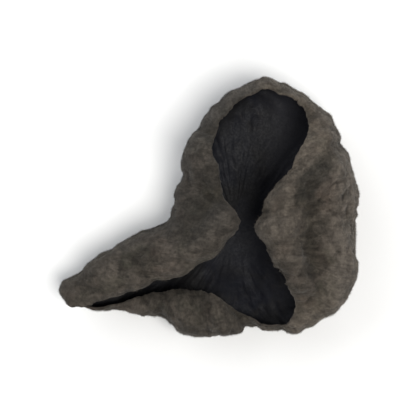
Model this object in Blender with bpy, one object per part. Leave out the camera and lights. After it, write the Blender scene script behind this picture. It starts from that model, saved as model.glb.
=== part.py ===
"""A dried wood ear mushroom: one thin, stiff sheet of fungus that has curled up as it dried.

The ear lies on its cut base with the dark inner face up. Its edge has rolled inwards nearly all round, so from
above the felted back shows on broad flaps, and the dark face shows through the gap between them.
The sheet is worked out as ribs that leave the base, run out along the underside to the fold, which is the widest
point, and roll over from there to the edge. Metres, +Z up, origin under the middle of the ear.
"""

import bmesh
import bpy
import numpy as np

MM = 0.001

# All sizes below are in mm.

# The cut base: its radius, how far it flares, and its height; and the lowest that the sheet's middle may hang
BASE_RADIUS = 4.5
BASE_FLARE = 1.83
BASE_HEIGHT = 1.8
LOWEST = 0.6
SOFTNESS = 0.5

# The sheet's thickness at the base and at the edge
SHEET_THICK = 0.95
EDGE_THICK = 0.5

# The ribs, anticlockwise from the right: where the fold lies (x, y, z) and where the edge lies (x, y, z)
RIBS = (
    (24.2, -3.0, 8.0, 7.2, -4.0, 12.6),
    (24.4, 4.4, 8.0, 7.7, 1.4, 12.8),
    (22.4, 11.6, 7.6, 12.3, 6.7, 13.6),
    (18.0, 17.8, 7.5, 15.6, 15.4, 13.2),
    (9.6, 21.2, 7.0, 9.0, 18.8, 13.6),
    (2.8, 17.0, 7.4, 3.3, 15.2, 13.8),
    (-2.6, 12.4, 8.0, 0.9, 10.6, 14.0),
    (-4.7, 4.8, 8.0, 3.6, 3.6, 13.4),
    (-6.2, 0.6, 7.6, 6.0, -2.6, 12.6),
    (-10.4, -2.2, 7.0, 3.6, -8.4, 11.6),
    (-16.0, -4.6, 6.0, -4.6, -12.3, 10.6),
    (-20.4, -8.0, 5.6, -13.0, -15.0, 9.4),
    (-23.8, -9.7, 5.2, -18.2, -16.4, 8.4),
    (-24.6, -11.5, 4.8, -21.2, -15.4, 8.4),
    (-22.4, -14.1, 4.0, -22.8, -14.7, 7.0),
    (-18.6, -15.6, 4.0, -19.0, -15.6, 5.8),
    (-14.0, -16.0, 4.2, -13.8, -14.6, 6.2),
    (-9.6, -17.2, 4.6, -8.8, -12.0, 7.0),
    (-3.8, -19.6, 4.8, -3.8, -10.3, 8.4),
    (2.6, -20.0, 4.8, 1.8, -11.6, 8.4),
    (8.2, -18.6, 4.6, 7.2, -17.3, 7.4),
    (14.8, -19.8, 5.6, 11.8, -18.6, 10.4),
    (22.2, -15.8, 7.2, 11.4, -12.2, 13.0),
    (24.6, -9.4, 8.0, 8.6, -7.9, 12.8),
)

# The middle that the ribs are spread round
MIDDLE = (3.0, -3.5)

# How far an edge curls past its arc, in radians, how flat the underside is, and how straight the ribs run there
CURL = 0.4
FLATNESS = 4.0
STRAIGHT = 0.45

# Furrows pressed into the back: the middle (x, y, z), the end's offset from it, half width, depth (under 0 a ridge)
FURROWS = (
    (16.2, -5.0, 15.0, -1.1, 9.0, 0.0, 3.0, 4.2),
    (15.6, 4.7, 14.5, 2.6, 3.3, 0.0, 1.7, 2.6),
    (-1.0, 1.5, 14.0, 2.5, 3.6, 0.0, 2.6, 1.8),
    (-11.5, -6.2, 12.0, 1.6, 0.8, 0.0, 1.8, 1.4),
    (-15.5, -11.0, 11.0, 6.0, 2.6, 0.0, 2.0, 1.4),
    (-4.8, 9.4, 9.0, 0.0, 0.5, 6.0, 2.2, 1.2),
    (-1.6, 13.4, 9.0, 0.0, 0.5, 6.0, 2.0, -0.9),
    (-5.0, 2.6, 9.0, 0.0, 0.5, 6.0, 2.0, -0.8),
)
FURROW_UPRIGHT = 0.4

# Swells of the whole sheet: how long, how deep, and the noise's start; and how steep and how round their valleys are
SWELLS = (14.0, 1.8, 10.9)
VALLEY_STEEP = 2.2
VALLEY_ROUND = 0.03

# Folds out along the ribs, and pleats that deepen to the edge: how far apart, how long, how deep, noise's start
FOLDS = ((8.5, 26.0, 1.5, 12.2), (4.4, 16.0, 0.3, 16.2))
PLEATS = (4.2, 30.0, 2.6, 50.3)
PERIMETER = 145.0

# How the folds wander: how long, how far in radians, and the noise's start
WANDER = (9.0, 0.117, 4.4)

# All of these fade in over this way out from the base, and are shallower on a lip narrower than this
FADE_IN = 9.0
WIDE_LIP = 9.0

# The ragged edge: how far it is cut back, and its nicks: how many, how much, and the noise's start
EDGE_RAGGED = 0.9
NICKS = ((5.0, 1.0, 20.5), (12.0, 0.6, 31.5))

# Rounds of easing, and the spacing of the ribs' points below which they are eased apart
EASING = 2
CROWDED = 0.8

FLESH_COLOUR = (0.075, 0.06, 0.048, 1.0)

# How finely the sheet is divided
ROUND = 108
OUT = 20
FINE = 40


def around(values, turns):
    """Values at fractional places round the ribs, on a closed Catmull-Rom curve through them."""
    values = np.asarray(values, float)
    first = np.floor(turns).astype(int)
    t = (turns - first)[:, None]
    a, b, c, d = (values[(first + k) % len(values)] for k in (-1, 0, 1, 2))
    return b + t / 2 * (c - a + t * (2 * a - 5 * b + 4 * c - d + t * (3 * (b - c) + d - a)))


def even_turns(count):
    """Places round the ribs, spaced half by the distance along the fold and half by the angle about the middle."""
    turns = np.linspace(0, len(RIBS), 40 * len(RIBS) + 1)
    fold = around(np.array(RIBS)[:, :3], turns)
    step = np.linalg.norm(np.diff(fold, axis=0), axis=1)
    seen = np.unwrap(np.arctan2(fold[:, 1] - MIDDLE[1], fold[:, 0] - MIDDLE[0]))
    swing = np.maximum(np.diff(seen), 0)
    run = np.concatenate([[0], np.cumsum(step / step.sum() + swing / swing.sum())])
    return np.interp(np.arange(count) / count * run[-1], run, turns)


def noise(p):
    """Smooth noise between about -1 and 1: hashed slopes at whole-number points, blended between them."""
    cell = np.floor(p).astype(np.int64)
    f = p - cell
    blend = f**3 * (f * (f * 6 - 15) + 10)
    total = 0.0
    for corner in np.ndindex(2, 2, 2):
        at = cell + corner
        h = at[..., 0] * 73856093 ^ at[..., 1] * 19349663 ^ at[..., 2] * 83492791
        h = (h * 2654435761 + 974711) & 0xFFFFFFFF
        h = (h ^ (h >> 15)) * 2246822519 & 0xFFFFFFFF
        slope = np.stack([h & 1023, (h >> 10) & 1023, (h >> 20) & 1023], axis=-1) / 511.5 - 1
        share = np.prod(np.where(corner, blend, 1 - blend), axis=-1)
        total = total + share * np.sum(slope * (f - corner), axis=-1)
    return 1.4 * total


def hermite(p, q, leaving, arriving, t):
    """Points from p to q on a cubic that leaves and arrives along the two tangents; shape (t, rib, 3)."""
    t = t[:, None, None]
    return (
        (2 * t**3 - 3 * t**2 + 1) * p
        + (t**3 - 2 * t**2 + t) * leaving
        + (3 * t**2 - 2 * t**3) * q
        + (t**3 - t**2) * arriving
    )


def unit(v):
    return v / np.maximum(np.linalg.norm(v, axis=-1, keepdims=True), 1e-12)


def smooth(t):
    """0 below 0, 1 above 1, and 3t^2 - 2t^3 between."""
    t = np.clip(t, 0, 1)
    return t * t * (3 - 2 * t)


def underside(fold):
    """The smooth sheet from its middle out to the fold, which it meets going straight up.

    In plan the fold's outline fades inwards by a Fourier series, each wave dying out with its own power of the
    way out, so the ribs part evenly at the middle. Straight ribs are mixed in, so that none cross beside the
    tongue. The height follows a flat-bottomed bowl.
    """
    out = np.sin(np.linspace(0, np.pi / 2, FINE))[:, None, None]
    waves = np.fft.rfft(fold[:, :2], axis=0)
    order = np.arange(len(waves))[:, None]
    plan = np.fft.irfft(waves * out**order, n=len(fold), axis=1)
    plan = plan + STRAIGHT * (plan[0] + (fold[:, :2] - plan[0]) * out - plan)
    rise = 1 - np.sqrt(1 - out**FLATNESS)
    return np.concatenate([plan, BASE_HEIGHT + (fold[:, 2:] - BASE_HEIGHT) * rise], axis=2)


def lips(fold, edge):
    """The smooth sheet from the fold over to the edge: an arc that starts straight up and ends curled in."""
    up = np.array([0.0, 0.0, 1.0])
    chord = edge - fold
    length = np.linalg.norm(chord, axis=1, keepdims=True)
    half_turn = np.arccos(np.clip(chord[:, 2:] / length, -1, 1))
    pull = length / np.cos(half_turn / 2) ** 2
    turn = 2 * half_turn + CURL
    arriving = np.cos(turn) * up + np.sin(turn) * unit(chord * (1, 1, 0))
    return hermite(fold, edge, pull * up, pull * arriving, np.linspace(0, 1, FINE))


def ribs(count, steps):
    """The smooth sheet's middle surface as a grid (steps + 1, count, 3), each point's run, and how full each lip is."""
    given = around(RIBS, even_turns(count))
    fold, edge = given[:, :3], given[:, 3:]
    whole = np.concatenate([underside(fold), lips(fold, edge)[1:]])
    gone = np.linalg.norm(np.diff(whole, axis=0), axis=2).cumsum(axis=0)
    gone = np.concatenate([np.zeros((1, count)), gone])
    turn = np.arange(count) / count * 2 * np.pi
    ring = np.stack([np.cos(turn), np.sin(turn), 0 * turn], axis=-1)
    nicks = sum(share * noise(ring * often + start) for often, share, start in NICKS)
    full = np.clip(np.linalg.norm(edge - fold, axis=1) / WIDE_LIP, 0.25, 1)
    ends = gone[-1] - EDGE_RAGGED * (1 + nicks) * full
    grid = np.empty((steps + 1, count, 3))
    for i in range(count):
        even = np.linspace(0, ends[i], steps + 1)
        for axis in range(3):
            grid[:, i, axis] = np.interp(even, gone[:, i], whole[:, i, axis])
    return grid, np.linspace(0, 1, steps + 1)[:, None] * gone[-1], full


def normals(grid):
    """Unit normals of the grid, pointing to the inner face, which is up at the base."""
    out = np.gradient(grid, axis=0)
    round_ = np.roll(grid, -1, axis=1) - np.roll(grid, 1, axis=1)
    found = np.cross(out, round_)
    found[0] = (0, 0, 1)
    return unit(found)


def swelled(p):
    """Rounded swells with a narrow valley wherever the noise crosses nought: over 0 in a valley."""
    return 1 - VALLEY_STEEP * np.sqrt(noise(p) ** 2 + VALLEY_ROUND)


def unrolled(turn, run, apart, long):
    """Places for a noise that changes over apart mm round the ear and over long mm out along its ribs."""
    wide = PERIMETER / (2 * np.pi) / apart
    return np.stack([wide * np.cos(turn), wide * np.sin(turn), run / long], axis=-1)


def furrowed(grid, x, y, z, dx, dy, dz, width, depth):
    """A furrow's push, deepest along a line through (x, y, z) and dying out past its end and its half width."""
    gap = grid - (x, y, z)
    half = np.linalg.norm((dx, dy, dz))
    line = np.array([dx, dy, dz]) / half
    lengthwise = gap @ line
    across = (gap - lengthwise[..., None] * line) * (1, 1, FURROW_UPRIGHT)
    across = np.linalg.norm(across, axis=-1)
    return depth * np.exp(-((lengthwise / half) ** 2) - (across / width) ** 2)


def crumpled(grid, run, full):
    """The sheet after drying: furrows, broad swells, folds along the ribs, and pleats that deepen to the edge."""
    turn = np.arange(grid.shape[1]) / grid.shape[1] * 2 * np.pi + 0 * run
    length, far, start = WANDER
    bent = turn + far * noise(grid / length + start)
    length, depth, start = SWELLS
    push = depth * swelled(grid / length + start)
    for apart, long, depth, start in FOLDS:
        push = push + depth * swelled(unrolled(bent, run, apart, long) + start)
    apart, long, depth, start = PLEATS
    push = push + depth * noise(unrolled(turn, run, apart, long) + start) * (run / run[-1]) ** 3
    for furrow in FURROWS:
        push = push + furrowed(grid, *furrow)
    fade = smooth((run - BASE_RADIUS) / FADE_IN) * full
    grid = grid + normals(grid) * (push * fade)[..., None]
    grid[..., 2] = LOWEST + SOFTNESS * np.log1p(np.exp((grid[..., 2] - LOWEST) / SOFTNESS))
    return grid


def eased(grid):
    """The grid with each point drawn towards its neighbours, so no crease is sharper than the sheet is thick."""
    for _ in range(5 * EASING):
        beside = (np.roll(grid, 1, axis=1) + np.roll(grid, -1, axis=1)) / 2
        gap = np.linalg.norm(np.roll(grid, 1, axis=1) - np.roll(grid, -1, axis=1), axis=2) / 2
        crowding = np.clip(1.2 - gap / CROWDED, 0, 1)
        grid = grid + 0.7 * crowding[..., None] * (beside - grid)
    for _ in range(EASING):
        beside = (np.roll(grid, 1, axis=1) + np.roll(grid, -1, axis=1)) / 2
        middle = beside.copy()
        middle[1:-1] = (beside[1:-1] + (grid[:-2] + grid[2:]) / 2) / 2
        middle[0] = grid[0]
        grid = (grid + middle) / 2
    return grid


def half_thickness(reach):
    """Half the sheet's thickness, thinning with the cube of the way out."""
    return (SHEET_THICK + (EDGE_THICK - SHEET_THICK) * reach**3) / 2


def stub_mask(grid, reach):
    """1 under the base, where the back is drawn down to the cut, fading to 0 around it."""
    from_base = np.linalg.norm((grid - grid[0, 0])[..., :2], axis=2) / BASE_RADIUS
    return smooth((BASE_FLARE - from_base) / (BASE_FLARE - 1)) * (reach < 0.5)


def sheet(count, steps):
    """Inner points, outer points and the rounded edge's points, in mm."""
    grid = eased(crumpled(*ribs(count, steps)))
    reach = np.linspace(0, 1, steps + 1)[:, None]
    half = half_thickness(reach)[..., None]
    inward = normals(grid)
    inner = grid + inward * half
    outer = grid - inward * half
    outer[..., 2] *= 1 - stub_mask(grid, reach)
    edge = grid[-1] + unit(grid[-1] - grid[-2]) * half[-1]
    return inner, outer, edge


def placed(inner, outer, edge):
    """The three sets moved together so that the ear's box stands on z = 0 with its middle over the origin."""
    every = np.concatenate([inner.reshape(-1, 3), outer.reshape(-1, 3), edge])
    low, high = every.min(axis=0), every.max(axis=0)
    shift = np.array([(low[0] + high[0]) / 2, (low[1] + high[1]) / 2, low[2]])
    return inner - shift, outer - shift, edge - shift


def ear_mesh(count, steps):
    """One closed skin: out over the inner face, round the edge, and back in over the outer face."""
    inner, outer, edge = placed(*sheet(count, steps))
    rings = np.concatenate([inner[1:], edge[None], outer[:0:-1]])
    points = np.concatenate([inner[0, :1], rings.reshape(-1, 3), outer[0, :1]]) * MM
    here = np.arange(count)
    after = (here + 1) % count
    last = 1 + (len(rings) - 1) * count
    faces = [(0, 1 + i, 1 + j) for i, j in zip(here, after)]
    for start in range(1, last, count):
        ends = zip(start + here, start + count + here, start + count + after, start + after)
        faces.extend(ends)
    faces.extend((len(points) - 1, last + j, last + i) for i, j in zip(here, after))
    mesh = bpy.data.meshes.new("wood_ear")
    mesh.from_pydata(points.tolist(), [], [tuple(int(v) for v in face) for face in faces])
    return mesh


def flesh_material():
    """Dry, felted, dark grey-brown."""
    material = bpy.data.materials.new("ear_flesh")
    material.use_nodes = True
    shader = material.node_tree.nodes["Principled BSDF"]
    shader.inputs["Base Color"].default_value = FLESH_COLOUR
    shader.inputs["Roughness"].default_value = 0.85
    shader.inputs["Metallic"].default_value = 0.0
    return material


def main():
    for obj in list(bpy.data.objects):
        bpy.data.objects.remove(obj)
    mesh = ear_mesh(ROUND, OUT)
    mesh.materials.append(flesh_material())
    work = bmesh.new()
    work.from_mesh(mesh)
    bmesh.ops.recalc_face_normals(work, faces=work.faces)
    work.to_mesh(mesh)
    work.free()
    mesh.shade_smooth()
    mesh.set_sharp_from_angle(angle=np.radians(50))
    ear = bpy.data.objects.new("wood_ear", mesh)
    bpy.context.scene.collection.objects.link(ear)


main()
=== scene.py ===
"""A dried wood ear mushroom: a felted grey-brown back, a smooth near-black inner face and a thin rim.

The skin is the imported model's own sheet worked out finer, with the small wrinkles, veins and frayed rim
that drying leaves, and its back carries a nap of short hairs. Sizes are in mm unless a name says otherwise.
"""

import bpy
import numpy as np
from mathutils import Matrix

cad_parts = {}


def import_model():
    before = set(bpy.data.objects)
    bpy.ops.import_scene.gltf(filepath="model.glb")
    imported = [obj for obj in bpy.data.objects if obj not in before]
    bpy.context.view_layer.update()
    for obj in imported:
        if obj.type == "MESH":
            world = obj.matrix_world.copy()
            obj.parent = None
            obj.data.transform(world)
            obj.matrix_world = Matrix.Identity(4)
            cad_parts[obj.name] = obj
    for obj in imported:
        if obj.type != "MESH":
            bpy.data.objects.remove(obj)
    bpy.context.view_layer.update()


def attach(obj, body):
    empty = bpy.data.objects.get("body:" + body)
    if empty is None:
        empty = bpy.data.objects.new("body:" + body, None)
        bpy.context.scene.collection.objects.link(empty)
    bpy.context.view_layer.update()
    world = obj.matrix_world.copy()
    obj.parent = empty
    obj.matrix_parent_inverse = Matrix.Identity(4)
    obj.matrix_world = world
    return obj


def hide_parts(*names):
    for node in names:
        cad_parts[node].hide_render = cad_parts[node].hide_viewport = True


MM = 0.001

# The cut base: its radius, how many radii out it flares, and its height; and the lowest that the sheet's
# middle surface may hang, with how softly it is held there
BASE_RADIUS = 4.5
BASE_FLARE = 1.83
BASE_HEIGHT = 1.8
LOWEST = 0.6
SOFTNESS = 0.5

# The sheet's thickness at the base and at the edge
SHEET_THICK = 0.95
EDGE_THICK = 0.5

# The ribs, anticlockwise from the right: where the fold lies (x, y, z) and where the edge lies (x, y, z)
RIBS = (
    (24.2, -3.0, 8.0, 7.2, -4.0, 12.6),
    (24.4, 4.4, 8.0, 7.7, 1.4, 12.8),
    (22.4, 11.6, 7.6, 12.3, 6.7, 13.6),
    (18.0, 17.8, 7.5, 15.6, 15.4, 13.2),
    (9.6, 21.2, 7.0, 9.0, 18.8, 13.6),
    (2.8, 17.0, 7.4, 3.3, 15.2, 13.8),
    (-2.6, 12.4, 8.0, 0.9, 10.6, 14.0),
    (-4.7, 4.8, 8.0, 3.6, 3.6, 13.4),
    (-6.2, 0.6, 7.6, 6.0, -2.6, 12.6),
    (-10.4, -2.2, 7.0, 3.6, -8.4, 11.6),
    (-16.0, -4.6, 6.0, -4.6, -12.3, 10.6),
    (-20.4, -8.0, 5.6, -13.0, -15.0, 9.4),
    (-23.8, -9.7, 5.2, -18.2, -16.4, 8.4),
    (-24.6, -11.5, 4.8, -21.2, -15.4, 8.4),
    (-22.4, -14.1, 4.0, -22.8, -14.7, 7.0),
    (-18.6, -15.6, 4.0, -19.0, -15.6, 5.8),
    (-14.0, -16.0, 4.2, -13.8, -14.6, 6.2),
    (-9.6, -17.2, 4.6, -8.8, -12.0, 7.0),
    (-3.8, -19.6, 4.8, -3.8, -10.3, 8.4),
    (2.6, -20.0, 4.8, 1.8, -11.6, 8.4),
    (8.2, -18.6, 4.6, 7.2, -17.3, 7.4),
    (14.8, -19.8, 5.6, 11.8, -18.6, 10.4),
    (22.2, -15.8, 7.2, 11.4, -12.2, 13.0),
    (24.6, -9.4, 8.0, 8.6, -7.9, 12.8),
)

# The middle that the ribs are spread round
MIDDLE = (3.0, -3.5)

# How far an edge curls past its arc, in radians, how flat the underside is, and how straight ribs run there
CURL = 0.4
FLATNESS = 4.0
STRAIGHT = 0.45

# Furrows pressed into the back: the middle (x, y, z), the end's offset from it, half width, and depth, which
# is under 0 for a ridge; and the share at which height counts in the distance from a furrow's line
FURROWS = (
    (16.2, -5.0, 15.0, -1.1, 9.0, 0.0, 3.0, 4.2),
    (15.6, 4.7, 14.5, 2.6, 3.3, 0.0, 1.7, 2.6),
    (-1.0, 1.5, 14.0, 2.5, 3.6, 0.0, 2.6, 1.8),
    (-11.5, -6.2, 12.0, 1.6, 0.8, 0.0, 1.8, 1.4),
    (-15.5, -11.0, 11.0, 6.0, 2.6, 0.0, 2.0, 1.4),
    (-4.8, 9.4, 9.0, 0.0, 0.5, 6.0, 2.2, 1.2),
    (-1.6, 13.4, 9.0, 0.0, 0.5, 6.0, 2.0, -0.9),
    (-5.0, 2.6, 9.0, 0.0, 0.5, 6.0, 2.0, -0.8),
)
FURROW_UPRIGHT = 0.4

# The one of them whose bottom is darkened with painted shade
DARK_FURROW = 1

# Swells of the whole sheet: how long, how deep, and the noise's start; and how steep and how round their
# valleys are
SWELLS = (14.0, 1.8, 10.9)
VALLEY_STEEP = 2.2
VALLEY_ROUND = 0.03

# Folds out along the ribs, and pleats that deepen to the edge: how far apart, how long, how deep, and the
# noise's start; and the ear's perimeter, which they are spread over
FOLDS = ((8.5, 26.0, 1.5, 12.2), (4.4, 16.0, 0.3, 16.2))
PLEATS = (4.2, 30.0, 2.6, 50.3)
PERIMETER = 145.0

# How the folds wander: how long, how far in radians, and the noise's start
WANDER = (9.0, 0.117, 4.4)

# All of these fade in over this way out from the base, and are shallower on a lip narrower than this, down to
# a least share
FADE_IN = 9.0
WIDE_LIP = 9.0
LEAST_FULL = 0.25

# The ragged edge: how far it is cut back, and its nicks: how many, how much, and the noise's start
EDGE_RAGGED = 0.9
NICKS = ((5.0, 1.0, 20.5), (12.0, 0.6, 31.5))

# Rounds of easing. Where points round a ring lie closer than CROWDED, times CROWDED_FROM, they are drawn
# together first, by this share and in this many rounds
EASING = 2
CROWDED = 0.8
CROWDED_FROM = 1.2
CROWDED_DRAW = 0.7
CROWDED_ROUNDS = 10

# How finely the model divides the sheet: points round, rings, and steps along each half of a rib
ROUND = 108
OUT = 20
FINE = 40

# The fine skin: points round, rings on the inner face, on the back and over the rim, and a rib's usual run
SKIN_ROUND = 480
FACE_RINGS = 74
BACK_RINGS = 116
RIB_RUN = 38.0
RIM_RINGS = 5

# How the rings crowd towards the edge (1 for not at all), how many of the model's rings before the edge its
# direction is taken from, and the least height of the back away from the cut
CROWDING = 0.92
TIP_STEP = 0.6
OFF_FLOOR = 0.25

# Small wrinkles of the whole sheet: how long, how deep; and those along the ribs, given as FOLDS and PLEATS
WRINKLES = ((3.0, 0.20), (1.5, 0.11))
FINE_FOLDS = ((2.4, 11.0, 0.22, 33.7), (1.2, 6.0, 0.09, 8.4))
FINE_PLEATS = (2.3, 30.0, 0.4, 51.7)

# How steep and how round their creases are, and how far a crease wanders, with the three noises' starts
CREASE_STEEP = 3.4
CREASE_ROUND = 0.012
CREASE_BEND = 0.35
CREASE_STARTS = (3.1, 17.7, 29.3)

# The patches they come and go in: how long, the least share, how much more, and the noise's start; and how
# they wander round, as WANDER is given
PATCHES = (9.0, 0.55, 0.75, 40.2)
FINE_WANDER = (5.0, 0.05, 9.9)

# How far from the middle they start, the way they fade in over, and the inner face's share of them
LOOSE_FROM = 3.0
LOOSE_OVER = 5.0
FACE_SHARE = 0.42

# How many rings and points away the neighbours lie that a crease and a hollow are measured against, on the
# inner face and on the back
CREASE_STEPS = (2, 3)
HOLLOW_STEPS = (5, 9)

# The frayed edge: how far it goes in and out, in rings; its nicks: how many, how much, and the noise's start;
# and the patches that it comes and goes in: how many, the least share, and the noise's start
FRAY = 0.55
FINE_NICKS = ((22.0, 0.9, 11.5), (55.0, 0.7, 3.5))
FRAY_PATCHES = (5.0, 0.3, 31.1)

# It shrinks where the edge's points lie closer than this, and at most to this share
FRAY_CROWDED = 0.9
FRAY_LEAST = 0.1

# The nap of the back: pieces, the first one's seed, hairs a piece, how long, its spread, and how thick
NAP_PIECES = 2
NAP_SEED = 5
HAIRS = 48000
HAIR_LONG = 0.3
HAIR_SPREAD = (0.55, 1.25)
HAIR_WIDE = 0.034

# How far a hair leans to the rim and how far it sways aside, and how far single hairs stray from both
HAIR_LEAN = 0.75
HAIR_SWAY = 0.9
LEAN_STRAY = 0.25
SWAY_STRAY = 0.3

# The tufts that the hairs sway in: how long, and the noise's start; and the patches of longer hairs: how
# long, how much, and the noise's start
TUFTS = (1.4, 61.3)
LONG_PATCHES = (2.4, 0.5, 15.1)

# How deep a hair's foot is sunk, how far it clears the floor, and the share of the cut from which none grows
HAIR_SUNK = 0.05
HAIR_CLEAR = 0.03
CUT_BARE = 0.05

# The fan that textures run along: its radius round the ear, and its length from the middle to the edge
FAN_RADIUS = 23.0
FAN_LENGTH = 36.0

# The baking layout's margin, and the smaller one beyond the skin's two ends
MARGIN = 0.01
END_MARGIN = 0.002

# The felt's two grounds, and the tints that are mixed into them
FELT_DARK = (0.0365, 0.0304, 0.0228, 1)
FELT_LIGHT = (0.051, 0.0433, 0.0346, 1)
PINKISH = (0.062, 0.042, 0.031, 1)
OLIVE = (0.036, 0.036, 0.023, 1)
# Painted highlight, which makes the swells paler
SWELL_HIGHLIGHT = (0.108, 0.090, 0.073, 1)
# Painted light, which makes the right side paler
RIGHT_SIDE_LIGHT = (0.112, 0.094, 0.075, 1)
# Buff for painted highlight on the rim, which is also partly paler in its own colour, and on the right flap's
# lower end
BUFF_HIGHLIGHT = (0.165, 0.138, 0.106, 1)
# Painted highlight on the right flap's outer ridge
OUTER_RIDGE_HIGHLIGHT = (0.165, 0.145, 0.124, 1)
# Painted shade over the left strip
LEFT_STRIP_SHADE = (0.024, 0.022, 0.019, 1)
# Painted shade over the low lump
LUMP_SHADE = (0.026, 0.0225, 0.0175, 1)
# Painted shade over the right flap's low ridge
LOW_RIDGE_SHADE = (0.030, 0.0255, 0.020, 1)
# Painted shade over the tongue's tip
TONGUE_TIP_SHADE = (0.024, 0.0215, 0.017, 1)
# Painted shade down the dark furrow
FURROW_SHADE = (0.021, 0.0195, 0.0155, 1)
# Painted shade in the hollows
HOLLOW_SHADE = (0.034, 0.0295, 0.020, 1)
# Painted shade in the creases
CREASE_SHADE = (0.018, 0.0145, 0.011, 1)

# The cut base's wood, dark and light
WOOD_DARK = (0.060, 0.036, 0.020, 1)
WOOD_LIGHT = (0.200, 0.135, 0.080, 1)

# The inner face: brown-black and blue-black, and its bloom; painted highlight for its swells, painted
# light for under the right flap, and its lip, paler partly in its own colour and partly as painted highlight
FACE_BROWN = (0.0062, 0.0059, 0.0064, 1)
FACE_BLUE = (0.0063, 0.0067, 0.0098, 1)
BLOOM = (0.016, 0.0155, 0.018, 1)
# Painted highlight for the inner face's swells
FACE_SWELL_HIGHLIGHT = (0.022, 0.018, 0.015, 1)
# Painted light for the inner face under the right flap
UNDER_FLAP_LIGHT = (0.026, 0.026, 0.031, 1)
# The lip's colour, paler partly in its own right and partly as painted highlight
FACE_LIP_AND_HIGHLIGHT = (0.080, 0.068, 0.058, 1)

# The floor's half width in metres, and its colour
FLOOR_HALF = 2.0
FLOOR_COLOUR = (0.86, 0.86, 0.85, 1)

# The lamps: where each stands and how wide it is, in metres, its power in watts, and its colour; and the
# sky's colour and strength
LAMPS = {
    "key": ((0.12, -0.10, 0.44), 0.24, 1.9, (1.0, 0.985, 0.96)),
    "fill": ((-0.30, 0.24, 0.28), 0.40, 1.1, (0.95, 0.97, 1.0)),
    "rim": ((0.10, 0.34, 0.16), 0.20, 0.25, (0.96, 0.98, 1.0)),
}
SKY_COLOUR = (0.93, 0.95, 1.0, 1)
SKY_STRENGTH = 0.3

# The camera's focal length in mm, and its height in metres
LENS = 100
CAMERA_HEIGHT = 0.185


def around(values, turns):
    """Values at fractional places round the ribs, on a closed Catmull-Rom curve through them."""
    values = np.asarray(values, float)
    first = np.floor(turns).astype(int)
    t = (turns - first)[:, None]
    a, b, c, d = (values[(first + k) % len(values)] for k in (-1, 0, 1, 2))
    return b + t / 2 * (c - a + t * (2 * a - 5 * b + 4 * c - d + t * (3 * (b - c) + d - a)))


def even_turns(count):
    """Places round the ribs, spaced half by the way along the fold and half by the angle about the middle."""
    turns = np.linspace(0, len(RIBS), 40 * len(RIBS) + 1)
    fold = around(np.array(RIBS)[:, :3], turns)
    step = np.linalg.norm(np.diff(fold, axis=0), axis=1)
    seen = np.unwrap(np.arctan2(fold[:, 1] - MIDDLE[1], fold[:, 0] - MIDDLE[0]))
    swing = np.maximum(np.diff(seen), 0)
    run = np.concatenate([[0], np.cumsum(step / step.sum() + swing / swing.sum())])
    return np.interp(np.arange(count) / count * run[-1], run, turns)


def noise(p):
    """Smooth noise between about -1 and 1: hashed slopes at whole-number points, blended between them."""
    cell = np.floor(p).astype(np.int64)
    f = p - cell
    blend = f**3 * (f * (f * 6 - 15) + 10)
    total = 0.0
    for corner in np.ndindex(2, 2, 2):
        at = cell + corner
        h = at[..., 0] * 73856093 ^ at[..., 1] * 19349663 ^ at[..., 2] * 83492791
        h = (h * 2654435761 + 974711) & 0xFFFFFFFF
        h = (h ^ (h >> 15)) * 2246822519 & 0xFFFFFFFF
        slope = np.stack([h & 1023, (h >> 10) & 1023, (h >> 20) & 1023], axis=-1) / 511.5 - 1
        share = np.prod(np.where(corner, blend, 1 - blend), axis=-1)
        total = total + share * np.sum(slope * (f - corner), axis=-1)
    return 1.4 * total


def hermite(p, q, leaving, arriving, t):
    """Points from p to q on a cubic that leaves and arrives along the two tangents; shape (t, rib, 3)."""
    t = t[:, None, None]
    return (
        (2 * t**3 - 3 * t**2 + 1) * p
        + (t**3 - 2 * t**2 + t) * leaving
        + (3 * t**2 - 2 * t**3) * q
        + (t**3 - t**2) * arriving
    )


def unit(v):
    """Each vector divided by its length."""
    return v / np.maximum(np.linalg.norm(v, axis=-1, keepdims=True), 1e-12)


def smooth(t):
    """0 below 0, 1 above 1, and 3t^2 - 2t^3 between."""
    t = np.clip(t, 0, 1)
    return t * t * (3 - 2 * t)


def underside(fold):
    """The smooth sheet from its middle out to the fold, which it meets going straight up.

    In plan the fold's outline fades inwards by a Fourier series, each wave dying out with its own power of
    the way out, so the ribs part evenly at the middle. Straight ribs are mixed in, so that none cross beside
    the tongue. The height follows a flat-bottomed bowl.
    """
    out = np.sin(np.linspace(0, np.pi / 2, FINE))[:, None, None]
    waves = np.fft.rfft(fold[:, :2], axis=0)
    order = np.arange(len(waves))[:, None]
    plan = np.fft.irfft(waves * out**order, n=len(fold), axis=1)
    plan = plan + STRAIGHT * (plan[0] + (fold[:, :2] - plan[0]) * out - plan)
    rise = 1 - np.sqrt(1 - out**FLATNESS)
    return np.concatenate([plan, BASE_HEIGHT + (fold[:, 2:] - BASE_HEIGHT) * rise], axis=2)


def lips(fold, edge):
    """The smooth sheet from the fold over to the edge: an arc that starts straight up and ends curled in."""
    up = np.array([0.0, 0.0, 1.0])
    chord = edge - fold
    length = np.linalg.norm(chord, axis=1, keepdims=True)
    half_turn = np.arccos(np.clip(chord[:, 2:] / length, -1, 1))
    pull = length / np.cos(half_turn / 2) ** 2
    turn = 2 * half_turn + CURL
    arriving = np.cos(turn) * up + np.sin(turn) * unit(chord * (1, 1, 0))
    return hermite(fold, edge, pull * up, pull * arriving, np.linspace(0, 1, FINE))


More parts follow.
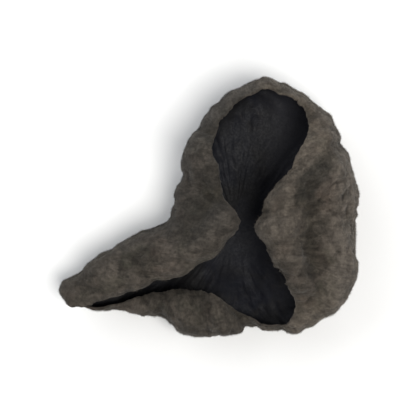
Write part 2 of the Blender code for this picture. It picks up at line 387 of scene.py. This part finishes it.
def ribs(count, steps):
    """The smooth sheet's middle surface as a grid (steps + 1, count, 3), its runs and its lips' fullness.

    A run is the way out along the rib from the middle. A narrow lip is less full, down to LEAST_FULL.
    """
    given = around(RIBS, even_turns(count))
    fold, edge = given[:, :3], given[:, 3:]
    whole = np.concatenate([underside(fold), lips(fold, edge)[1:]])
    gone = np.linalg.norm(np.diff(whole, axis=0), axis=2).cumsum(axis=0)
    gone = np.concatenate([np.zeros((1, count)), gone])
    turn = np.arange(count) / count * 2 * np.pi
    ring = np.stack([np.cos(turn), np.sin(turn), 0 * turn], axis=-1)
    nicks = sum(share * noise(ring * often + start) for often, share, start in NICKS)
    full = np.clip(np.linalg.norm(edge - fold, axis=1) / WIDE_LIP, LEAST_FULL, 1)
    ends = gone[-1] - EDGE_RAGGED * (1 + nicks) * full
    grid = np.empty((steps + 1, count, 3))
    for i in range(count):
        even = np.linspace(0, ends[i], steps + 1)
        for axis in range(3):
            grid[:, i, axis] = np.interp(even, gone[:, i], whole[:, i, axis])
    return grid, np.linspace(0, 1, steps + 1)[:, None] * gone[-1], full


def normals(grid):
    """Unit normals of the grid, pointing to the inner face, which is up at the base."""
    out = np.gradient(grid, axis=0)
    round_ = np.roll(grid, -1, axis=1) - np.roll(grid, 1, axis=1)
    found = np.cross(out, round_)
    found[0] = (0, 0, 1)
    return unit(found)


def swelled(p):
    """Rounded swells with a narrow valley wherever the noise crosses nought: over 0 in a valley."""
    return 1 - VALLEY_STEEP * np.sqrt(noise(p) ** 2 + VALLEY_ROUND)


def unrolled(turn, run, apart, long):
    """Places for a noise that changes over apart mm round the ear and over long mm out along its ribs."""
    wide = PERIMETER / (2 * np.pi) / apart
    return np.stack([wide * np.cos(turn), wide * np.sin(turn), run / long], axis=-1)


def furrowed(grid, x, y, z, dx, dy, dz, width, depth):
    """A furrow's push, deepest along a line through (x, y, z) and dying out past its end and half width."""
    gap = grid - (x, y, z)
    half = np.linalg.norm((dx, dy, dz))
    line = np.array([dx, dy, dz]) / half
    lengthwise = gap @ line
    across = (gap - lengthwise[..., None] * line) * (1, 1, FURROW_UPRIGHT)
    across = np.linalg.norm(across, axis=-1)
    return depth * np.exp(-((lengthwise / half) ** 2) - (across / width) ** 2)


def crumpled(grid, run, full):
    """The sheet after drying: furrows, swells, folds along the ribs, and pleats that deepen to the edge.

    Each is a push along the normal towards the inner face. They are summed, and fade in from the base.
    """
    turn = np.arange(grid.shape[1]) / grid.shape[1] * 2 * np.pi + 0 * run
    length, far, start = WANDER
    bent = turn + far * noise(grid / length + start)
    length, depth, start = SWELLS
    push = depth * swelled(grid / length + start)
    for apart, long, depth, start in FOLDS:
        push = push + depth * swelled(unrolled(bent, run, apart, long) + start)
    apart, long, depth, start = PLEATS
    push = push + depth * noise(unrolled(turn, run, apart, long) + start) * (run / run[-1]) ** 3
    for furrow in FURROWS:
        push = push + furrowed(grid, *furrow)
    fade = smooth((run - BASE_RADIUS) / FADE_IN) * full
    grid = grid + normals(grid) * (push * fade)[..., None]
    grid[..., 2] = LOWEST + SOFTNESS * np.log1p(np.exp((grid[..., 2] - LOWEST) / SOFTNESS))
    return grid


def eased(grid):
    """The grid with each point drawn to the mean of its neighbours, so no crease is sharper than the sheet.

    Where points crowd round a ring they are drawn together first, and then all are eased a little.
    """
    for _ in range(CROWDED_ROUNDS):
        beside = (np.roll(grid, 1, axis=1) + np.roll(grid, -1, axis=1)) / 2
        gap = np.linalg.norm(np.roll(grid, 1, axis=1) - np.roll(grid, -1, axis=1), axis=2) / 2
        crowding = np.clip(CROWDED_FROM - gap / CROWDED, 0, 1)
        grid = grid + CROWDED_DRAW * crowding[..., None] * (beside - grid)
    for _ in range(EASING):
        beside = (np.roll(grid, 1, axis=1) + np.roll(grid, -1, axis=1)) / 2
        middle = beside.copy()
        middle[1:-1] = (beside[1:-1] + (grid[:-2] + grid[2:]) / 2) / 2
        middle[0] = grid[0]
        grid = (grid + middle) / 2
    return grid


def half_thickness(reach):
    """Half the sheet's thickness, thinning with the cube of the way out."""
    return (SHEET_THICK + (EDGE_THICK - SHEET_THICK) * reach**3) / 2


def stub_mask(grid, reach):
    """1 under the base, where the back is drawn down to the cut, fading to 0 around it."""
    from_base = np.linalg.norm((grid - grid[0, 0])[..., :2], axis=2) / BASE_RADIUS
    return smooth((BASE_FLARE - from_base) / (BASE_FLARE - 1)) * (reach < 0.5)


def model_shift(grid):
    """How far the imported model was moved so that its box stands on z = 0 with its middle over the origin."""
    reach = np.linspace(0, 1, len(grid))[:, None]
    half = half_thickness(reach)[..., None]
    inward = normals(grid)
    outer = grid - inward * half
    outer[..., 2] *= 1 - stub_mask(grid, reach)
    edge = grid[-1] + unit(grid[-1] - grid[-2]) * half[-1]
    every = np.concatenate([(grid + inward * half).reshape(-1, 3), outer.reshape(-1, 3), edge])
    low, high = every.min(axis=0), every.max(axis=0)
    return np.array([(low[0] + high[0]) / 2, (low[1] + high[1]) / 2, low[2]])


def finer(grid, rings, count):
    """The grid on Catmull-Rom curves through it: count points round, at the given ring places of each point.

    Round the rings the curves are closed. Along the ribs, the ring before the middle is the first ring seen
    across it, half a turn away, and the ring past the edge carries the last step on.
    """
    steps, had = grid.shape[:2]
    across = np.roll(grid[1], had // 2, axis=0)
    rows = np.concatenate([across[None], grid, 2 * grid[-1:] - grid[-2:-1]])
    flat = rows.transpose(1, 0, 2).reshape(had, -1)
    rows = around(flat, np.arange(count) / count * had).reshape(count, -1, 3).transpose(1, 0, 2)
    first = np.clip(np.floor(rings).astype(int), 0, steps - 2)
    t = (rings - first)[..., None]
    here = np.arange(count)
    a, b, c, d = (rows[first + k, here] for k in range(4))
    return b + t / 2 * (c - a + t * (2 * a - 5 * b + 4 * c - d + t * (3 * (b - c) + d - a)))


def creased(p, scale):
    """Rounded swells parted by narrow creases: near 1 in a crease and falling to about -0.5 on a swell."""
    bent = p + CREASE_BEND * scale * np.stack([noise(p / scale + start) for start in CREASE_STARTS], axis=-1)
    return 1 - CREASE_STEEP * np.sqrt(noise(bent / scale + 2 * scale) ** 2 + CREASE_ROUND)


def small_wrinkles(grid, reach, turn):
    """How far the small wrinkles press the sheet towards its inner face: broken ones and ones along the ribs.

    It is the sum of creased noises, swelled noises that run along the ribs, and a noise that grows with the
    square of the way out.
    """
    push = 0
    length, least, more, start = PATCHES
    patchy = least + more * smooth(0.5 + noise(grid / length + start))
    for scale, depth in WRINKLES:
        push = push + depth * creased(grid, scale) * patchy
    run = RIB_RUN * reach
    length, far, start = FINE_WANDER
    bent = turn + 0 * reach + far * noise(grid / length + start)
    for apart, long, depth, start in FINE_FOLDS:
        push = push + depth * swelled(unrolled(bent, run, apart, long) + start) * patchy
    apart, long, depth, start = FINE_PLEATS
    return push + depth * noise(unrolled(bent, run, apart, long) + start) * reach**2


def frayed(edge, turn):
    """How far in from the model's edge the fine skin ends at each turn, in rings, under 0 for outside it.

    The nicks are a noise round the edge. They fade where the edge's points crowd, and come in patches.
    """
    ring = np.stack([np.cos(turn), np.sin(turn), 0 * turn], axis=-1)
    nicks = sum(share * noise(ring * often + start) for often, share, start in FINE_NICKS)
    gap = np.linalg.norm(np.roll(edge, -1, axis=0) - np.roll(edge, 1, axis=0), axis=1) / 2
    room = np.clip(gap / FRAY_CROWDED, FRAY_LEAST, 1)
    room = np.interp(turn, np.arange(len(edge)) / len(edge) * 2 * np.pi, room, period=2 * np.pi)
    often, least, start = FRAY_PATCHES
    room = room * (least + (1 - least) * smooth(0.5 + noise(ring * often + start)))
    return FRAY * room * (smooth(0.5 + 0.6 * nicks) - 0.5 * room)


def skin():
    """The fine skin's points in mm: the inner face, the rim and the back, each (ring, round, 3).

    The two sides lie half the thickness off the middle surface along its normal. With each point come its
    way out along the rib (0 to 1), its share of the cut, its outward normal, and how deep it lies in the
    furrow that is darkened with painted shade (0 to 1). The rim is a half round between the two sides' edges.
    """
    rough = eased(crumpled(*ribs(ROUND, OUT)))
    shift = model_shift(rough)
    turn = np.arange(SKIN_ROUND) / SKIN_ROUND * 2 * np.pi
    fray = frayed(rough[-1], turn)
    found = {}
    for name, rings, side in (("face", FACE_RINGS, 1), ("back", BACK_RINGS, -1)):
        reach = np.linspace(0, 1, rings + 1)[:, None] ** CROWDING * np.ones(SKIN_ROUND)
        places = reach * (OUT - fray)
        grid = finer(rough, places, SKIN_ROUND)
        inward = normals(grid)
        stub = stub_mask(grid, reach)
        loose = smooth((np.linalg.norm((grid - grid[0, 0])[..., :2], axis=2) - LOOSE_FROM) / LOOSE_OVER)
        push = small_wrinkles(grid, reach, turn) * loose
        if side > 0:
            push = FACE_SHARE * push
        half = half_thickness(reach)
        points = grid + inward * (push + side * half)[..., None]
        if side < 0:
            points[..., 2] = np.maximum(points[..., 2], shift[2] + OFF_FLOOR)
            points[..., 2] -= (points[..., 2] - shift[2]) * stub
        # How deep each point lies in that furrow: the mask of its painted shade
        dent = furrowed(grid, *FURROWS[DARK_FURROW]) / FURROWS[DARK_FURROW][-1]
        found[name] = (points, reach, stub, inward * side, dent)
    face, back = found["face"][0][-1], found["back"][0][-1]
    before, at_edge = (finer(rough, OUT - back_off - fray[None], SKIN_ROUND)[0] for back_off in (TIP_STEP, 0))
    tip = unit(at_edge - before)
    bend = np.linspace(0, np.pi, RIM_RINGS + 2)[1:-1, None, None]
    half = (face - back) / 2
    size = np.linalg.norm(half, axis=1, keepdims=True)
    rim = (face + back) / 2 + half * np.cos(bend) + tip * size * np.sin(bend)
    return found, rim, shift, turn


def hollowness(points, outward, step):
    """How far each point lies below its neighbours step rings and points away, in mm: over 0 in a hollow.

    It is the mean of the neighbours out and in, plus the mean of those round the ring, less twice the point,
    measured along the outward normal.
    """
    rows = np.arange(len(points))
    before = points[np.maximum(rows - step, 0)]
    after = points[np.minimum(rows + step, len(points) - 1)]
    beside = (np.roll(points, step, axis=1) + np.roll(points, -step, axis=1)) / 2
    return np.sum(((before + after) / 2 + beside - 2 * points) * outward, axis=-1)


def set_attribute(mesh, name, kind, values):
    """Gives each point of a mesh a value, or a vector, that its materials read by name."""
    values = np.asarray(values, np.float32)
    layer = mesh.attributes.new(name, kind, "POINT")
    layer.data.foreach_set("vector" if kind == "FLOAT_VECTOR" else "value", values.ravel())


def lay_out(mesh, corners):
    """The layout for baking: a place between 0 and 1 for each corner of each face, in their order."""
    mesh.uv_layers.new(name="OFBake").data.foreach_set("uv", np.asarray(corners, np.float32).ravel())


def skin_layout(rings):
    """A place for each corner: across by the way round, and up by the mean way along the ribs."""
    step = np.linalg.norm(np.diff(rings, axis=0), axis=2).mean(axis=1)
    along = np.concatenate([[0], np.cumsum(step)])
    within = 1 - 2 * MARGIN
    along = MARGIN + within * (along + 0.5) / (along[-1] + 1.0)
    left = (MARGIN + within * np.arange(SKIN_ROUND) / SKIN_ROUND)[None] + 0 * along[:-1, None]
    right = left + within / SKIN_ROUND
    low, high = along[:-1, None] + 0 * left, along[1:, None] + 0 * left
    quads = np.stack([left, low, left, high, right, high, right, low], axis=-1).reshape(-1, 2)
    left, right = left[0], right[0]
    first, last = along[0] + 0 * left, along[-1] + 0 * left
    middle, foot, top = (left + right) / 2, END_MARGIN + 0 * left, 1 - END_MARGIN + 0 * left
    caps = np.stack([middle, foot, left, first, right, first], axis=-1).reshape(-1, 2)
    ends = np.stack([middle, top, right, last, left, last], axis=-1).reshape(-1, 2)
    return np.concatenate([caps, quads, ends])


def ear_piece(found, rim, shift, turn):
    """The whole skin as one closed mesh: out over the inner face, round the rim, and in over the back."""
    face, face_reach, _, face_out, face_dent = found["face"]
    back, back_reach, cut, back_out, dent = found["back"]
    rings = np.concatenate([face[1:], rim, back[:0:-1]])
    count, total = SKIN_ROUND, len(rings)
    points = np.concatenate([face[0, :1], rings.reshape(-1, 3), back[0, :1]]) - shift
    points[:, 2] = np.maximum(points[:, 2], 0)
    here = np.arange(count)
    after = (here + 1) % count
    start = 1 + count * np.arange(total - 1)[:, None]
    quads = np.stack([start + here, start + count + here, start + count + after, start + after], axis=-1)
    last = 1 + (total - 1) * count
    caps = [(0, 1 + i, 1 + j) for i, j in zip(here.tolist(), after.tolist())]
    ends = [(len(points) - 1, last + j, last + i) for i, j in zip(here.tolist(), after.tolist())]
    mesh = bpy.data.meshes.new("wood_ear_skin")
    mesh.from_pydata((points * MM).tolist(), [], caps + quads.reshape(-1, 4).tolist() + ends)
    lay_out(mesh, skin_layout(rings))
    on_rim = np.zeros((RIM_RINGS, count))

    def laid(of_face, of_rim, of_back):
        """One value for each point in the mesh's order, from grids over the face, the rim and the back."""
        ring = np.concatenate([of_face[1:], of_rim, of_back[:0:-1]])
        return np.concatenate([of_face[0, :1], ring.reshape(-1, *of_face.shape[2:]), of_back[0, :1]])

    set_attribute(mesh, "reach", "FLOAT", laid(face_reach, on_rim + 1, back_reach))
    set_attribute(mesh, "cut", "FLOAT", laid(0 * face_reach, on_rim, cut))
    for name, (on_face, on_back) in (("crease", CREASE_STEPS), ("hollow", HOLLOW_STEPS)):
        depths = laid(hollowness(face, face_out, on_face), on_rim, hollowness(back, back_out, on_back))
        set_attribute(mesh, name, "FLOAT", depths)
    set_attribute(mesh, "dent", "FLOAT", laid(face_dent, on_rim + dent[-1], dent))

    def fan(reach):
        """Places for textures that run out along the ribs: on a cylinder, as high as the way out."""
        across = FAN_RADIUS * np.cos(turn), FAN_RADIUS * np.sin(turn)
        return np.stack([across[0] + 0 * reach, across[1] + 0 * reach, FAN_LENGTH * reach], axis=-1)

    set_attribute(mesh, "fan", "FLOAT_VECTOR", laid(fan(face_reach), fan(on_rim + 1), fan(back_reach)))
    of_face = count + count * (FACE_RINGS - 1 + (RIM_RINGS + 1) // 2)
    slots = (np.arange(len(mesh.polygons)) >= of_face).astype(np.int32)
    mesh.polygons.foreach_set("material_index", slots)
    mesh.shade_smooth()
    return mesh


def nap_piece(found, shift, seed):
    """Short hairs on the back, each a closed three-sided spike whose base is sunk a little into the skin.

    Roots are spread over the back by its area, with none on the cut. A hair stands off along the skin's
    normal, plus HAIR_LEAN of the way to the rim, plus a sideways sway that follows a noise, so that the nap
    lies in tufts. Its base is three points a third of a turn apart about that line, and its tip is one point.
    """
    rng = np.random.default_rng(seed)
    back, reach, cut, out, dent = found["back"]
    crease, hollow = (hollowness(back, out, steps[1]) for steps in (CREASE_STEPS, HOLLOW_STEPS))
    facts = np.concatenate([back, out, np.stack([cut, crease, hollow, reach, dent], axis=-1)], axis=-1)
    beside = np.roll(facts, -1, axis=1)
    cross = np.cross((beside[1:] - facts[:-1])[..., :3], (facts[1:] - beside[:-1])[..., :3])
    area = np.linalg.norm(cross, axis=-1) * (facts[:-1, :, 6] < CUT_BARE)
    total = np.cumsum(area.ravel())
    cell = np.searchsorted(total, (np.arange(HAIRS) + rng.random(HAIRS)) / HAIRS * total[-1])
    ring, turn = np.minimum(cell, area.size - 1) // SKIN_ROUND, cell % SKIN_ROUND
    u, v = rng.random((2, HAIRS, 1))
    near = facts[ring, turn] * (1 - u) + beside[ring, turn] * u
    far = facts[ring + 1, turn] * (1 - u) + beside[ring + 1, turn] * u
    root = near * (1 - v) + far * v
    where, normal = root[:, :3], unit(root[:, 3:6])
    rimward = unit((far - near)[:, :3])
    aside = np.cross(normal, rimward)
    length, start = TUFTS
    sway = HAIR_SWAY * noise(where / length + start)[:, None] + SWAY_STRAY * rng.standard_normal((HAIRS, 1))
    lean = HAIR_LEAN + LEAN_STRAY * rng.standard_normal((HAIRS, 1))
    line = unit(normal + lean * rimward + sway * aside)
    length, more, start = LONG_PATCHES
    patchy = 1 + more * noise(where / length + start)[:, None]
    long = HAIR_LONG * rng.uniform(*HAIR_SPREAD, (HAIRS, 1)) * patchy
    first = unit(np.cross(line, aside))
    second = np.cross(line, first)
    bend = np.arange(3) / 3 * 2 * np.pi
    foot = where - HAIR_SUNK * normal
    ends = [foot + HAIR_WIDE / 2 * (np.cos(a) * first + np.sin(a) * second) for a in bend]
    spikes = np.stack([*ends, where + long * line], axis=1) - shift
    clear = spikes[..., 2].min(axis=1) > HAIR_CLEAR
    spikes, root = spikes[clear], root[clear]
    start = 4 * np.arange(len(spikes))[:, None, None]
    faces = start + np.array([(0, 1, 3), (1, 2, 3), (2, 0, 3), (0, 2, 1)])
    mesh = bpy.data.meshes.new("wood_ear_nap")
    mesh.from_pydata((spikes.reshape(-1, 3) * MM).tolist(), [], faces.reshape(-1, 3).tolist())
    cells = int(np.ceil(np.sqrt(len(spikes))))
    quarter = np.array([(0, 0), (1, 0), (0, 1), (1, 1)])
    corner = quarter[:, None] + np.array([(0.15, 0.15), (0.85, 0.15), (0.5, 0.85)])
    place = np.stack([np.arange(len(spikes)) % cells, np.arange(len(spikes)) // cells], axis=-1)
    lay_out(mesh, (place[:, None, None] + corner / 2) / cells)
    tone = rng.uniform(0, 1, len(spikes))
    set_attribute(mesh, "tone", "FLOAT", np.repeat(tone, 4))
    for column, name in ((7, "crease"), (8, "hollow"), (9, "reach"), (10, "dent")):
        set_attribute(mesh, name, "FLOAT", np.repeat(root[:, column], 4))
    set_attribute(mesh, "tip", "FLOAT", np.tile([0.0, 0.0, 0.0, 1.0], len(spikes)))
    return mesh


def put(tree, kind, feeds=(), **settings):
    """Adds a node and gives its outputs. feeds maps an input to its value, or to the output that it reads."""
    made = tree.nodes.new("ShaderNode" + kind)
    for name, value in settings.items():
        setattr(made, name, value)
    for key, value in dict(feeds).items():
        if isinstance(value, bpy.types.NodeSocket):
            tree.links.new(value, made.inputs[key])
        else:
            made.inputs[key].default_value = value
    return made.outputs


def read(tree, name, part="Fac"):
    """A named attribute of the mesh's points: its value, or its vector."""
    return put(tree, "Attribute", attribute_name=name)[part]


def mottle(tree, where, size, detail=3.0, roughness=0.55, distortion=0.0):
    """Noise whose swells are about size mm across, where the coordinates are in metres."""
    feeds = {"Vector": where, "Scale": 1 / (size * MM), "Detail": detail}
    feeds.update({"Roughness": roughness, "Distortion": distortion})
    return put(tree, "TexNoise", feeds)["Fac"]


def ranged(tree, value, low, high, to_low=0.0, to_high=1.0):
    """The value eased from the range low to high onto another, and held at its ends."""
    feeds = {"Value": value, "From Min": low, "From Max": high, "To Min": to_low, "To Max": to_high}
    return put(tree, "MapRange", feeds, interpolation_type="SMOOTHSTEP")["Result"]


def plus(tree, a, b):
    """Two values added."""
    return put(tree, "Math", {0: a, 1: b}, operation="ADD")[0]


def times(tree, *values):
    """The product of two or more values."""
    product = values[0]
    for value in values[1:]:
        product = put(tree, "Math", {0: product, 1: value}, operation="MULTIPLY")[0]
    return product


def mixed(tree, share, a, b, how="MIX"):
    """Two colours mixed, the second by its share."""
    return put(tree, "Mix", {0: share, 6: a, 7: b}, data_type="RGBA", blend_type=how)[2]


def grey(tree, value):
    """A value as a grey colour."""
    return put(tree, "CombineColor", {0: value, 1: value, 2: value})[0]


def bumped(tree, height, depth, under=None):
    """A normal from a height between 0 and 1 that stands for depth mm."""
    feeds = {"Height": height, "Distance": depth * MM}
    if under is not None:
        feeds["Normal"] = under
    return put(tree, "Bump", feeds)["Normal"]


def new_material(name, **constants):
    """A material whose shader has the given constants, and its tree, shader and object coordinates."""
    material = bpy.data.materials.new(name)
    material.use_nodes = True
    tree = material.node_tree
    shader = tree.nodes["Principled BSDF"]
    for key, value in constants.items():
        shader.inputs[key.replace("_", " ")].default_value = value
    where = put(tree, "TexCoord")["Object"]
    return material, tree, shader, where


def felt_colour(tree, where):
    """Grey-brown in pinkish and olive patches, with painted highlight on the swells, the lips, the right side
    and the right flap's end and outer ridge, and painted shade over some regions, down one furrow, in the
    hollows and in the creases. The lips are also partly paler in their own colour.

    The two grounds are mixed by a noise. Each row of the table mixes one more tint in, by its strength times
    the product of its shares. A share is a noise, a fact of the skin, or a stretch along an axis in mm.
    """
    place = put(tree, "SeparateXYZ", {"Vector": where})
    reach, crease, hollow, dent = (read(tree, name) for name in ("reach", "crease", "hollow", "dent"))

    def along(axis, low, high, least=0.0):
        """A share that rises from the least to 1 between two places on an axis, in mm."""
        return ranged(tree, place[axis], low * MM, high * MM, least)

    broken = ranged(tree, mottle(tree, where, 1.6, 4.0, 0.65, 0.3), 0.3, 0.7, -0.12, 0.06)
    ground = ranged(tree, mottle(tree, where, 8.0, 3.0, 0.55, 0.4), 0.34, 0.66)
    warm = ranged(tree, mottle(tree, where, 5.0, 2.0, 0.5, 0.6), 0.5, 0.75)
    green = ranged(tree, mottle(tree, where, 4.0, 2.0, 0.5, 0.5), 0.48, 0.3)
    highlight_patches = ranged(tree, mottle(tree, where, 2.4, 3.0, 0.6), 0.3, 0.7, 0.45)
    tints = (
        (0.6, PINKISH, warm),
        (0.5, OLIVE, green),
        # Painted highlight on the swells, in patches
        (0.6, SWELL_HIGHLIGHT, ranged(tree, hollow, 0.1, -0.8), highlight_patches),
        # Painted light: paler towards the right side
        (0.12, RIGHT_SIDE_LIGHT, along("X", 4, 17)),
        # Painted shade over the upper left strip
        (0.65, LEFT_STRIP_SHADE, along("X", 12, 2), along("Y", -12, 0)),
        # Painted shade over the low lump
        (0.5, LUMP_SHADE, along("X", -13, -9), along("X", 9, 5), along("Y", -9, -13)),
        # A paler rim, mostly on the right, partly in its own colour and partly painted highlight
        (0.16, BUFF_HIGHLIGHT, ranged(tree, reach, 0.78, 0.97), along("X", 5, 9, 0.1), along("Y", -10, -4)),
        # Painted shade over the tongue's tip
        (0.45, TONGUE_TIP_SHADE, along("X", -13, -19)),
        # Painted highlight on the right flap's lower end
        (0.25, BUFF_HIGHLIGHT, along("X", 12, 15), along("Y", -12, -15)),
        # Painted shade over the right flap's low ridge
        (0.5, LOW_RIDGE_SHADE, along("X", 18, 14), along("X", 5, 9), along("Y", -4, -9), along("Y", -15, -12)),
        # Painted highlight along the right flap's outer ridge, higher up
        (0.22, OUTER_RIDGE_HIGHLIGHT, along("X", 18, 20.5), along("Z", 5, 9)),
        # Painted shade down the dark furrow
        (0.75, FURROW_SHADE, ranged(tree, plus(tree, dent, broken), 0.1, 0.6)),
        # Painted shade in the hollows
        (0.5, HOLLOW_SHADE, ranged(tree, hollow, 0.0, 1.3)),
        # Painted shade in the creases
        (0.65, CREASE_SHADE, ranged(tree, plus(tree, crease, broken), -0.02, 0.36)),
    )
    colour = mixed(tree, ground, FELT_DARK, FELT_LIGHT)
    for strength, tint, *shares in tints:
        colour = mixed(tree, times(tree, *shares, strength), colour, tint)
    specks = ranged(tree, mottle(tree, where, 1.4, 2.0, 0.5, 0.4), 0.36, 0.64, 0.74, 1.2)
    return mixed(tree, 1.0, colour, grey(tree, specks), "MULTIPLY")


def felt_material():
    """The skin of the back under its nap, and tan and woody on the cut base."""
    sheen = {"Sheen_Weight": 0.15, "Sheen_Roughness": 0.45, "Sheen_Tint": (0.9, 0.86, 0.8, 1)}
    material, tree, shader, where = new_material("ear_felt", Specular_IOR_Level=0.25, **sheen)
    fan = put(tree, "Mapping", {"Vector": read(tree, "fan", "Vector"), "Scale": (MM, MM, 0.16 * MM)})[0]
    hairs = mottle(tree, fan, 0.42, 4.0, 0.7, 0.3)
    nap = mottle(tree, where, 0.5, 4.0, 0.7, 0.5)
    shade = times(tree, ranged(tree, nap, 0.3, 0.7, 0.7, 1.2), ranged(tree, hairs, 0.3, 0.7, 0.8, 1.15))
    colour = mixed(tree, 1.0, felt_colour(tree, where), grey(tree, shade), "MULTIPLY")
    grain = ranged(tree, mottle(tree, where, 0.6, 4.0, 0.7, 1.5), 0.35, 0.65)
    wood = mixed(tree, grain, WOOD_DARK, WOOD_LIGHT)
    colour = mixed(tree, ranged(tree, read(tree, "cut"), 0.55, 0.95), colour, wood)
    tree.links.new(colour, shader.inputs["Base Color"])
    tree.links.new(ranged(tree, nap, 0.3, 0.7, 0.98, 0.8), shader.inputs["Roughness"])
    normal = bumped(tree, nap, 0.12)
    normal = bumped(tree, hairs, 0.06, normal)
    tree.links.new(normal, shader.inputs["Normal"])
    return material


def nap_material():
    """The hairs: the felt's colour in each hair's own tone, darker at the root and paler at the tip."""
    material, tree, shader, where = new_material("ear_nap", Roughness=0.7, Specular_IOR_Level=0.2)
    tone = ranged(tree, read(tree, "tone"), 0.0, 1.0, 0.7, 1.45)
    shade = times(tree, tone, ranged(tree, read(tree, "tip"), 0.0, 1.0, 0.75, 1.35))
    colour = mixed(tree, 1.0, felt_colour(tree, where), grey(tree, shade), "MULTIPLY")
    tree.links.new(colour, shader.inputs["Base Color"])
    return material


def face_material():
    """The inner face: satin and near black with a breath of blue and brown, a little bloom, painted highlight
    on its swells, painted light under the right flap, and a lip that is paler partly in its own colour and
    partly as painted highlight.

    Veins run out along the ribs under a fine grain.
    """
    material, tree, shader, where = new_material(
        "ear_face", Coat_Weight=0.01, Coat_Roughness=0.4, Specular_IOR_Level=0.11
    )
    place = put(tree, "SeparateXYZ", {"Vector": where})
    patches = ranged(tree, mottle(tree, where, 6.0, 3.0, 0.6, 0.4), 0.35, 0.65)
    bloom = ranged(tree, mottle(tree, where, 1.5, 5.0, 0.7, 0.3), 0.5, 0.8)
    # Painted highlight: paler on the swells
    swell_highlight = ranged(tree, read(tree, "crease"), 0.0, -0.2)
    # Lighter under the right flap, where the face lies in shade: painted light
    under_flap_light = times(tree, ranged(tree, place["X"], 7 * MM, 13 * MM), ranged(tree, place["Y"], -2 * MM, 3 * MM))
    lip = ranged(tree, read(tree, "reach"), 0.975, 1.0)
    colour = mixed(tree, patches, FACE_BROWN, FACE_BLUE)
    for strength, tint, share in (
        (0.25, BLOOM, bloom),
        # Painted highlight on the swells
        (0.25, FACE_SWELL_HIGHLIGHT, swell_highlight),
        # Painted light under the right flap
        (0.7, UNDER_FLAP_LIGHT, under_flap_light),
        # The lip, paler partly in its own colour and partly as painted highlight
        (0.7, FACE_LIP_AND_HIGHLIGHT, lip),
    ):
        colour = mixed(tree, times(tree, share, strength), colour, tint)
    tree.links.new(colour, shader.inputs["Base Color"])
    fine = mottle(tree, where, 0.32, 4.0, 0.6)
    tree.links.new(ranged(tree, fine, 0.3, 0.7, 0.46, 0.66), shader.inputs["Roughness"])
    fan = put(tree, "Mapping", {"Vector": read(tree, "fan", "Vector"), "Scale": (MM, MM, 0.3 * MM)})[0]
    veins = times(tree, mottle(tree, fan, 1.3, 3.0, 0.55, 0.5), ranged(tree, read(tree, "reach"), 0.25, 0.7))
    normal = bumped(tree, veins, 0.12)
    normal = bumped(tree, mottle(tree, where, 1.1, 3.0, 0.55, 0.4), 0.10, normal)
    normal = bumped(tree, fine, 0.02, normal)
    tree.links.new(normal, shader.inputs["Normal"])
    return material


def floor():
    """A pale floor, level with the cut base."""
    half = FLOOR_HALF
    mesh = bpy.data.meshes.new("floor")
    corners = [(-half, -half, 0), (half, -half, 0), (half, half, 0), (-half, half, 0)]
    mesh.from_pydata(corners, [], [(0, 1, 2, 3)])
    material, _, shader, _ = new_material("floor", Roughness=0.7, Specular_IOR_Level=0.2)
    shader.inputs["Base Color"].default_value = FLOOR_COLOUR
    mesh.materials.append(material)
    piece = bpy.data.objects.new("floor", mesh)
    bpy.context.scene.collection.objects.link(piece)


def light(name, place, size, power, colour):
    """A square soft lamp at a place in metres, turned to the middle of the ear."""
    lamp = bpy.data.lights.new(name, "AREA")
    lamp.size = size
    lamp.energy = power
    lamp.color = colour
    made = bpy.data.objects.new(name, lamp)
    made.location = place
    made.rotation_euler = made.location.to_track_quat("Z", "Y").to_euler()
    bpy.context.scene.collection.objects.link(made)


def studio():
    """Soft lamps above, beside and behind the ear, a pale sky, and the camera straight above."""
    for name, lamp in LAMPS.items():
        light(name, *lamp)
    world = bpy.data.worlds.new("studio")
    bpy.context.scene.world = world
    world.use_nodes = True
    sky = world.node_tree.nodes["Background"]
    sky.inputs["Color"].default_value = SKY_COLOUR
    sky.inputs["Strength"].default_value = SKY_STRENGTH
    lens = bpy.data.cameras.new("camera")
    lens.lens = LENS
    lens.clip_start = 0.01
    camera = bpy.data.objects.new("camera", lens)
    camera.location = (0, 0, CAMERA_HEIGHT)
    bpy.context.scene.collection.objects.link(camera)
    bpy.context.scene.camera = camera
    bpy.context.scene.view_settings.view_transform = "Standard"


def added(name, mesh, *materials):
    """A piece of the ear with its materials, which rides the root."""
    for material in materials:
        mesh.materials.append(material)
    piece = bpy.data.objects.new(name, mesh)
    bpy.context.scene.collection.objects.link(piece)
    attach(piece, "root")
    return piece


def main():
    """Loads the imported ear, puts the fine skin and its nap in its place, and sets the studio round it."""
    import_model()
    found, rim, shift, turn = skin()
    ear = added("wood_ear_skin", ear_piece(found, rim, shift, turn), face_material(), felt_material())
    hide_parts("wood_ear")
    nap = nap_material()
    for k in range(NAP_PIECES):
        added(f"wood_ear_nap_{k + 1}", nap_piece(found, shift, NAP_SEED + k), nap)
    floor()
    studio()


main()
